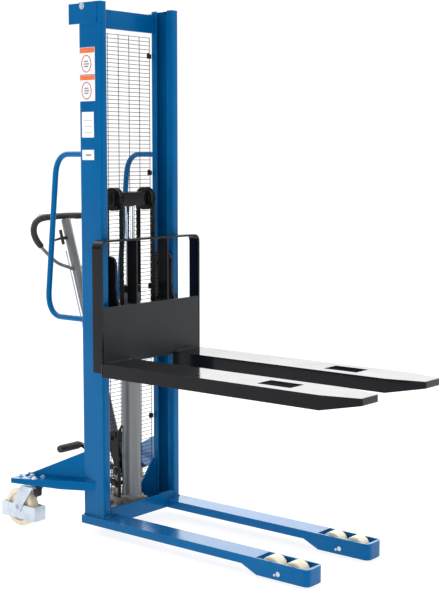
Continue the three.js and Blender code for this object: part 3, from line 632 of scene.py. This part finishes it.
# ---------------------------------------------------------------- hydraulics
RAM_X = -60
work = Work()
work.turned([
    (30, 112), (37, 100.3), (40, 101), (41.5, 106), (40, 112), (37.4, 114), (37, 120), (37, 880),
    (37.6, 882), (37.6, 902), (36.6, 904.8), (30, 904.8),
], (RAM_X, 0, 0), "z", 96)
work.done("cylinder_barrel", silver, "mast", ["lift_cylinder"])
work = Work()
work.turned([
    (17.9, 905.4), (39, 905.4), (40, 906.5), (40, 912), (38.6, 913), (38.6, 915), (40, 916), (40, 927),
    (37.5, 931.5), (24, 931.8), (22.5, 929), (17.9, 929),
], (RAM_X, 0, 0), "z", 72)
work.done("gland_nut", steel, "mast", ["cylinder_gland"])
work = Work()
work.disc([
    (0, 405), (28, 405), (29.6, 407), (29.6, 428), (28, 430), (17.5, 430), (17.5, 1233), (16.5, 1235.6),
    (0, 1235.6),
], (RAM_X, 0, 0), "z", 72)
work.done("polished_ram", chrome, "ram", ["ram_rod"])

PISTON_X = -150
work = Work()
work.disc([
    (0, 98), (13.7, 98), (13.7, 188), (17, 188), (18, 189), (18, 193), (15, 195.4), (0, 196),
], (PISTON_X, 0, 0), "z", 56)
work.done("pump_plunger", chrome, "piston", ["pump_piston"])
COIL_TURNS, COIL_RADIUS, COIL_WIRE = 5.5, 15.8, 2.4
COIL_FOOT, COIL_HEIGHT, COIL_STEPS = 125, 60, 200
spring = []
for k in range(COIL_STEPS + 1):
    share = k / COIL_STEPS
    angle = 2 * math.pi * COIL_TURNS * share
    spring.append((PISTON_X + COIL_RADIUS * math.cos(angle), COIL_RADIUS * math.sin(angle),
                   COIL_FOOT + COIL_HEIGHT * share))
work = Work()
work.swept(spring, COIL_WIRE, 10)
coil = work.done("pump_coil_spring", wire, None, ["pump_spring"])
at(PISTON_X, 0, 124)
at(PISTON_X, 0, 187)
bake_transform(coil)

work = Work()
work.bolt((-78, -48, 82), "y", -1, 20, 12)
work.bolt((-125, -48, 74), "y", -1, 15, 10)
work.bolt((-48, -48, 64), "y", -1, 14, 7)
work.bolt((-100, 48, 78), "y", 1, 18, 10)
work.disc([(0, 0), (13, 0), (14, 4), (14, 15), (12, 18), (0, 18)], (-126, -26, 99), "z", 36)
work.disc([(0, 0), (9, 0), (10, 3), (10, 22), (8, 25), (0, 25)], (-126, 28, 99), "z", 36)
work.bolt((-15, -22, 74), "x", 1, 15, 5)
work.disc([(0, 0), (45, 0), (47, 2), (47, 9), (44, 12), (0, 12)], (RAM_X, 0, 99.5), "z", 72)
work.done("pump_fittings", casting, "mast")
work = Work()
work.disc([(0, 0), (11, 0), (11.6, 2), (11.6, 7), (9, 9.5), (5, 9.5), (4.4, 7), (0, 7)], (-15.4, 25,
    78), "x", 36)
work.done("filler_plug", signal_plastic, "mast")
work = Work()
hose_route = [
    (-92, -40, 99), (-92, -40, 130), (-93, -40, 200), (-94, -41, 300), (-92, -42, 340), (-84, -38, 372),
    (-78, -31, 384),
]
work.swept(curve_points(hose_route), 4.4, 14)
work.disc([(0, 0), (7, 0), (7, 14), (5, 18), (0, 18)], (-92, -40, 99), "z", 24)
work.disc([(0, 0), (7.5, 0), (7.5, 12), (5, 15), (0, 15)], (-92, -40, 246), "z", 24)
work.done("oil_hose", rubber, "mast")
work = Work()
ring = [(RAM_X + 40 * math.cos(a), 40 * math.sin(a), 101.5) for a in full_turn(80)]
work.swept(ring, lambda share: 3.4 * (1 + 0.16 * math.sin(share * 210)), 8)
work.done("barrel_weld", casting, "mast")


# ---------------------------------------------------------------- leaf chains
PITCH = 12.7
CHAIN_Y = 87
ROLLER_Z = 1262
WRAP_RADIUS = 38


def link(work, base, heading, y, thick):
    """One link plate from the pin at base to the next along heading, in the x-z plane."""
    ahead = Vector((math.cos(heading), math.sin(heading)))
    aside = Vector((-ahead.y, ahead.x))
    half = 4.7
    outline = []
    for pin, way in ((0, -1), (PITCH, 1)):
        for k in range(7):
            angle = math.pi * k / 6 - math.pi / 2
            spot = ahead * (pin + way * half * math.cos(angle)) + aside * (way * half * math.sin(angle))
            outline.append((base.x + spot.x, base.y + spot.y))
    work.skin([[at(u, w, v) for u, v in outline] for w in (y - thick / 2, y + thick / 2)])


def leaf_chain(path, side):
    """Link plates and pins along a list of pin places in the x-z plane."""
    work = Work()
    middle = side * CHAIN_Y
    for i, (here, ahead) in enumerate(zip(path, path[1:])):
        heading = math.atan2(ahead.y - here.y, ahead.x - here.x)
        offsets = (-6.6, -2.3, 2.3, 6.6) if i % 2 else (-4.5, 0, 4.5)
        for offset in offsets:
            link(work, here, heading, middle + offset, 1.9)
    for pin in path:
        work.disc([(0, -8), (2.2, -8), (2.2, 8), (0, 8)], (pin.x, middle, pin.y), "y", 10)
    return work


def straight(x, low, high):
    count = round((high - low) / PITCH)
    return [Vector((x, low + (high - low) * i / count)) for i in range(count + 1)]


for side, sign in SIDES:
    front_x, rear_x = RAM_X + WRAP_RADIUS, RAM_X - WRAP_RADIUS
    strand = leaf_chain(straight(front_x, 756, ROLLER_Z), sign).done(
        f"{side}_strand_front", steel, None, [f"{side}_chain_front"])
    at(front_x, 0, 762)
    at(front_x, 0, ROLLER_Z - 4)
    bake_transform(strand)
    strand = leaf_chain(straight(rear_x, 876, ROLLER_Z), sign).done(
        f"{side}_strand_rear", steel, None, [f"{side}_chain_rear"])
    at(rear_x, 0, 882)
    at(rear_x, 0, ROLLER_Z - 4)
    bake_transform(strand)
    steps = round(math.pi * WRAP_RADIUS / PITCH)
    arc = []
    for k in range(steps + 1):
        angle = math.pi * k / steps
        arc.append(Vector((RAM_X + WRAP_RADIUS * math.cos(angle), ROLLER_Z + WRAP_RADIUS * math.sin(angle))))
    leaf_chain(arc, sign).done(f"{side}_strand_over_roller", steel, "ram", [f"{side}_chain_wrap"])
    work = Work()
    work.turned([
        (10.4, -12), (30, -12), (31, -11), (38, -11), (39, -12), (43, -12), (44, -11.2), (44, -9.6),
        (43, -9), (34.4, -8.8), (33.4, -8), (33.4, 8), (34.4, 8.8), (43, 9), (44, 9.6), (44, 11.2),
        (43, 12), (39, 12), (38, 11), (31, 11), (30, 12), (10.4, 12),
    ], (RAM_X, sign * CHAIN_Y, ROLLER_Z), "y", 72)
    work.done(f"{side}_chain_wheel", steel, f"{side}_chain_roller_body", [f"{side}_chain_roller"])
    work = Work()
    for way in (-1, 1):
        work.bolt((RAM_X, sign * CHAIN_Y + way * 22, ROLLER_Z), "y", way, 17, 4)
    work.done(f"{side}_chain_wheel_nuts", steel, "ram")


# ---------------------------------------------------------------- carriage
MAST_WHEEL_X = -54.5
MAST_WHEEL_HEIGHTS = (("upper", 995), ("lower", 745))
SIDE_PLATE_Y = 150
FORK_OUTER, FORK_INNER = 277.5, 112.5

for side, sign in SIDES:
    for level, z in MAST_WHEEL_HEIGHTS:
        low, high = sorted((sign * 185, sign * 205))
        work = Work()
        work.turned([
            (12.4, low), (24, low), (25, low + 1.5), (38, low + 1.5), (39, low), (44.5, low), (47.2, low + 3),
            (47.4, low + 5), (47.4, high - 5), (47.2, high - 3), (44.5, high), (39, high), (38, high - 1.5),
            (25, high - 1.5), (24, high), (12.4, high),
        ], (MAST_WHEEL_X, 0, z), "y", 72)
        roller = f"{side}_mast_roller_{level}"
        work.done(f"{side}_mast_wheel_{level}", steel, f"{roller}_body", [roller])
    work = Work()
    plate_face = sign * SIDE_PLATE_Y
    for _, z in MAST_WHEEL_HEIGHTS:
        work.bolt((MAST_WHEEL_X, plate_face, z), "y", -sign, 24, 9)
    for x, z in ((-28, 1030), (-28, 960), (-28, 780), (-60, 870)):
        work.bolt((x, plate_face, z), "y", -sign, 10, 5)
    work.done(f"{side}_side_plate_bolts", steel, "carriage")
    work = Work()
    work.bolt((46.5, sign * 98, 845), "x", -1, 13, 8)
    work.bolt((46.5, sign * 40, 845), "x", -1, 13, 8)
    work.done(f"{side}_plate_nuts", steel, "carriage")
    work = Work()
    outer = sign * FORK_OUTER
    inner = sign * FORK_INNER
    work.bead((57.5, outer - sign * 8, 672), (57.5, inner + sign * 8, 672), 2.6)
    work.bead((57.5, outer + sign * 0.2, 668), (57.5, outer + sign * 0.2, 624), 2.2)
    work.bead((57.5, inner - sign * 0.2, 668), (57.5, inner - sign * 0.2, 624), 2.2)
    work.bead((46, sign * 147, 700), (46, sign * 147, 860), 2.8)
    work.done(f"{side}_fork_welds", black, "carriage")
work = Work()
for y in (-86, 86):
    for way in (-1, 1):
        work.bead((12, y + way * 4.5, 875.6), (54, y + way * 4.5, 875.6), 2)
work.bead((12, -265, 875.6), (54, -265, 875.6), 2)
work.bead((12, 265, 875.6), (54, 265, 875.6), 2)
work.done("backrest_welds", black, "carriage")


# ---------------------------------------------------------------- tiller and pedal
LEAN = math.radians(17.1)
PIVOT = Vector((-113, 0, 200))
TILLER = 1032
GRIP_RADIUS = 12.5


def on_tiller(across, along, aside=0.0):
    """A place on the tiller: across its width, up its length, and forward of its middle line."""
    return (PIVOT.x + aside * math.cos(LEAN) - along * math.sin(LEAN), across,
            PIVOT.z + aside * math.sin(LEAN) + along * math.cos(LEAN))


work = Work()
post = [on_tiller(0, along) for along in (152.4, 156, 500, TILLER - 17, TILLER - 14)]
work.swept(post, lambda share: 19 if 0.001 < share < 0.999 else 18, 36)
rods = ((6, 224), (40, 210), (100, 185), (151, 134), (159, 121.6))
for sign in (-1, 1):
    work.swept(curve_points([on_tiller(sign * y, TILLER - down) for y, down in rods]), 7, 20)
work.done("tiller_post", silver, "tiller", ["tiller_tube"])
work = Work()
half = [(160, 120), (177, 95), (184, 65), (176, 38), (154, 16), (110, 4)]
loop = [on_tiller(-y, TILLER - down) for y, down in half] + [on_tiller(0, TILLER)]
loop += [on_tiller(y, TILLER - down) for y, down in reversed(half)]
work.swept(curve_points(loop, 12),
           lambda share: GRIP_RADIUS * min(1, 0.8 + 14 * share, 0.8 + 14 * (1 - share)), 24)
for k in range(9):
    for sign in (-1, 1):
        y, down = sign * (60 + 10 * k), 2 + 0.14 * k
        ring = [on_tiller(y, TILLER - down + GRIP_RADIUS * math.cos(a), GRIP_RADIUS * math.sin(a))
                for a in full_turn(32)]
        work.swept(ring, 0.8, 6)
work.done("grip_loop", rubber, "tiller", ["handle_grip"])
work = Work()
work.bolt(on_tiller(-20.5, 128), "y", -1, 14, 7)
work.bolt(on_tiller(20.5, 128), "y", 1, 14, 7)
work.bolt(on_tiller(-34.4, 0), "y", -1, 16, 4)
work.done("tiller_bolts", wire, "tiller")

RISE = math.radians(19)
PEDAL = 307
PEDAL_PIVOT_X, PEDAL_PIVOT_Z = -107, 150


def on_pedal(back, across, above=0.0):
    """A place on the pedal: back along its arm, across the machine, and above the arm's middle line."""
    return (PEDAL_PIVOT_X - back * math.cos(RISE) + above * math.sin(RISE), across,
            PEDAL_PIVOT_Z + back * math.sin(RISE) + above * math.cos(RISE))


work = Work()
work.swept([on_pedal(PEDAL, y) for y in (-66, -64, -60, -20, 20, 40, 44, 46)],
           lambda share: 15.5 if 0.03 < share < 0.97 else 13.6, 32)
for k in range(7):
    y = -48 + 14 * k
    ring = [on_pedal(PEDAL + 15.6 * math.cos(a), y, 15.6 * math.sin(a)) for a in full_turn(32)]
    work.swept(ring, 0.9, 6)
work.done("pedal_sleeve", rubber, "pedal", ["pedal_grip"])


# ---------------------------------------------------------------- labels, bolts and welds of the frame
WEB = 214
work = Work()
FILM_Y = (-WEB - 0.5, -WEB - 0.02)
INK_Y = (-WEB - 0.62, -WEB - 0.4)
for low, high, narrower in ((1720, 1817, 0), (1623, 1718, 0), (1491, 1584, 8), (1409, 1446, 8)):
    work.block((-104 + narrower, -27 - narrower), FILM_Y, (low, high), 0.1)
work.done("side_labels", paper, "mast")
work = Work()
for low, high in ((1797, 1816), (1699, 1717)):
    work.block((-103, -28), INK_Y, (low, high), 0.05)
work.done("label_headers", amber, "mast")
work = Work()
RING_HEIGHTS = (1758, 1661)
for middle in RING_HEIGHTS:
    ring = [(-70 + 24 * math.cos(a), -WEB - 0.5, middle + 30 * math.sin(a)) for a in full_turn(48)]
    work.swept(ring, 1.7, 6)
work.done("label_rings", red_ink, "mast")
work = Work()
for middle in RING_HEIGHTS:
    for k in range(3):
        low = middle - 12 + 9 * k
        work.block((-82, -60 + 4 * (k % 2)), INK_Y, (low, low + 5), 0.05)
for k in range(3):
    work.block((-88, -44), INK_Y, (1508 + 22 * k, 1509.5 + 22 * k), 0.05)
work.block((-78, -50), INK_Y, (1424, 1430), 0.05)
work.done("label_lines", grey_ink, "mast")

work = Work()
for _, sign in SIDES:
    work.bolt((-86, sign * 218, 1966), "y", sign, 13, 5)
work.done("bracket_bolts", zinc, "mast")
work = Work()
for _, sign in SIDES:
    out, inn = sign * WEB, sign * 178
    work.bead((-109, out + sign * 0.6, 70), (0, out + sign * 0.6, 70), 3)
    work.bead((0.6, out - sign * 4, 70.2), (0.6, inn, 70.2), 3)
    work.bead((-109.6, out - sign * 4, 70.2), (-109.6, inn, 70.2), 3)
    work.bead((-108, sign * 215, 201), (-48, sign * 215, 201), 4)
    work.bead((-7.6, sign * 100, 99), (-7.6, sign * 176, 99), 2.4)
    work.bead((-104, sign * 75, 48), (-104, sign * 137, 48), 2.6)
    work.bead((-99.4, sign * 177, 74), (-99.4, sign * 177, 214), 2.6)
    work.bead((-110, sign * 209, 206), (-110, sign * 209, 300), 2.6)
work.bead((-9, -137, 47), (-9, 137, 47), 2.4)
work.bead((0.8, -137, 66), (0.8, -137, 42), 2.4)
work.bead((0.8, 137, 66), (0.8, 137, 42), 2.4)
for y in (-176, 176):
    work.bead((-98, y, 1900), (-98, y, 1964), 2.4)
work.done("frame_welds", blue, "mast")
work = Work()
for _, sign in SIDES:
    work.bolt((MAST_WHEEL_X, sign * 200, 1979.6), "z", -1, 14, 5, False)
work.done("channel_stops", steel, "mast")


# ---------------------------------------------------------------- studio
floor_finish = Finish("studio_floor", "blue_paint", Roughness=0.9, Specular_IOR_Level=0.0,
                      Emission_Color=(1, 1, 1, 1), Emission_Strength=0.8)
tone = floor_finish.between(floor_finish.noise(1.3, 2), 0.3, 0.7)
floor_finish.colour(floor_finish.mix(tone, (0.3, 0.3, 0.3, 1), (0.32, 0.32, 0.32, 1)))
floor_mesh = bpy.data.meshes.new("studio_floor")
REACH = 30
floor_corners = [(-REACH, -REACH, 0), (REACH, -REACH, 0), (REACH, REACH, 0), (-REACH, REACH, 0)]
floor_mesh.from_pydata(floor_corners, [], [(0, 1, 2, 3)])
floor_mesh.materials.append(floor_finish.material)
floor = bpy.data.objects.new("studio_floor", floor_mesh)
bpy.context.scene.collection.objects.link(floor)

world = bpy.data.worlds.new("studio")
bpy.context.scene.world = world
world.use_nodes = True
nodes, links = world.node_tree.nodes, world.node_tree.links
direction = nodes.new("ShaderNodeTexCoord")


def strength_along(axis, low, high, dark, bright):
    """World strength rising from dark to bright as the direction turns towards the axis."""
    facing = nodes.new("ShaderNodeVectorMath")
    facing.operation = "DOT_PRODUCT"
    facing.inputs[1].default_value = axis
    level = nodes.new("ShaderNodeMapRange")
    for socket, value in ((1, low), (2, high), (3, dark), (4, bright)):
        level.inputs[socket].default_value = value
    links.new(direction.outputs["Generated"], facing.inputs[0])
    links.new(facing.outputs["Value"], level.inputs[0])
    return level.outputs[0]


wall = strength_along((-0.68, 0.73, 0), -0.1, 0.5, 0.15, 1.03)
band = strength_along((0, 0, 1), 0.125, 0.17, 1, 2.6)
combined = nodes.new("ShaderNodeMath")
combined.operation = "MULTIPLY"
links.new(wall, combined.inputs[0])
links.new(band, combined.inputs[1])
links.new(combined.outputs[0], nodes["Background"].inputs["Strength"])
nodes["Background"].inputs["Color"].default_value = (1, 1, 1, 1)


def softbox(name, place, aim, size, power):
    light = bpy.data.lights.new(name, "AREA")
    light.shape = "RECTANGLE"
    light.size, light.size_y = size
    light.energy = power
    lamp = bpy.data.objects.new(name, light)
    lamp.location = place
    lamp.rotation_euler = (Vector(aim) - Vector(place)).to_track_quat("-Z", "Y").to_euler()
    bpy.context.scene.collection.objects.link(lamp)


softbox("overhead", (0.4, -0.4, 5.2), (0.2, 0, 0), (8, 8), 150)
softbox("key", (3.6, -1.0, 3.0), (0, 0, 0.8), (1.4, 1.8), 26)
softbox("side", (-1.6, -4.2, 2.2), (0, 0, 0.9), (1.4, 2.4), 26)
softbox("corner_light", (2.2, -3.6, 1.3), (-0.35, -0.2, 1.0), (0.5, 2.6), 26)
bpy.context.scene.view_settings.view_transform = "Standard"
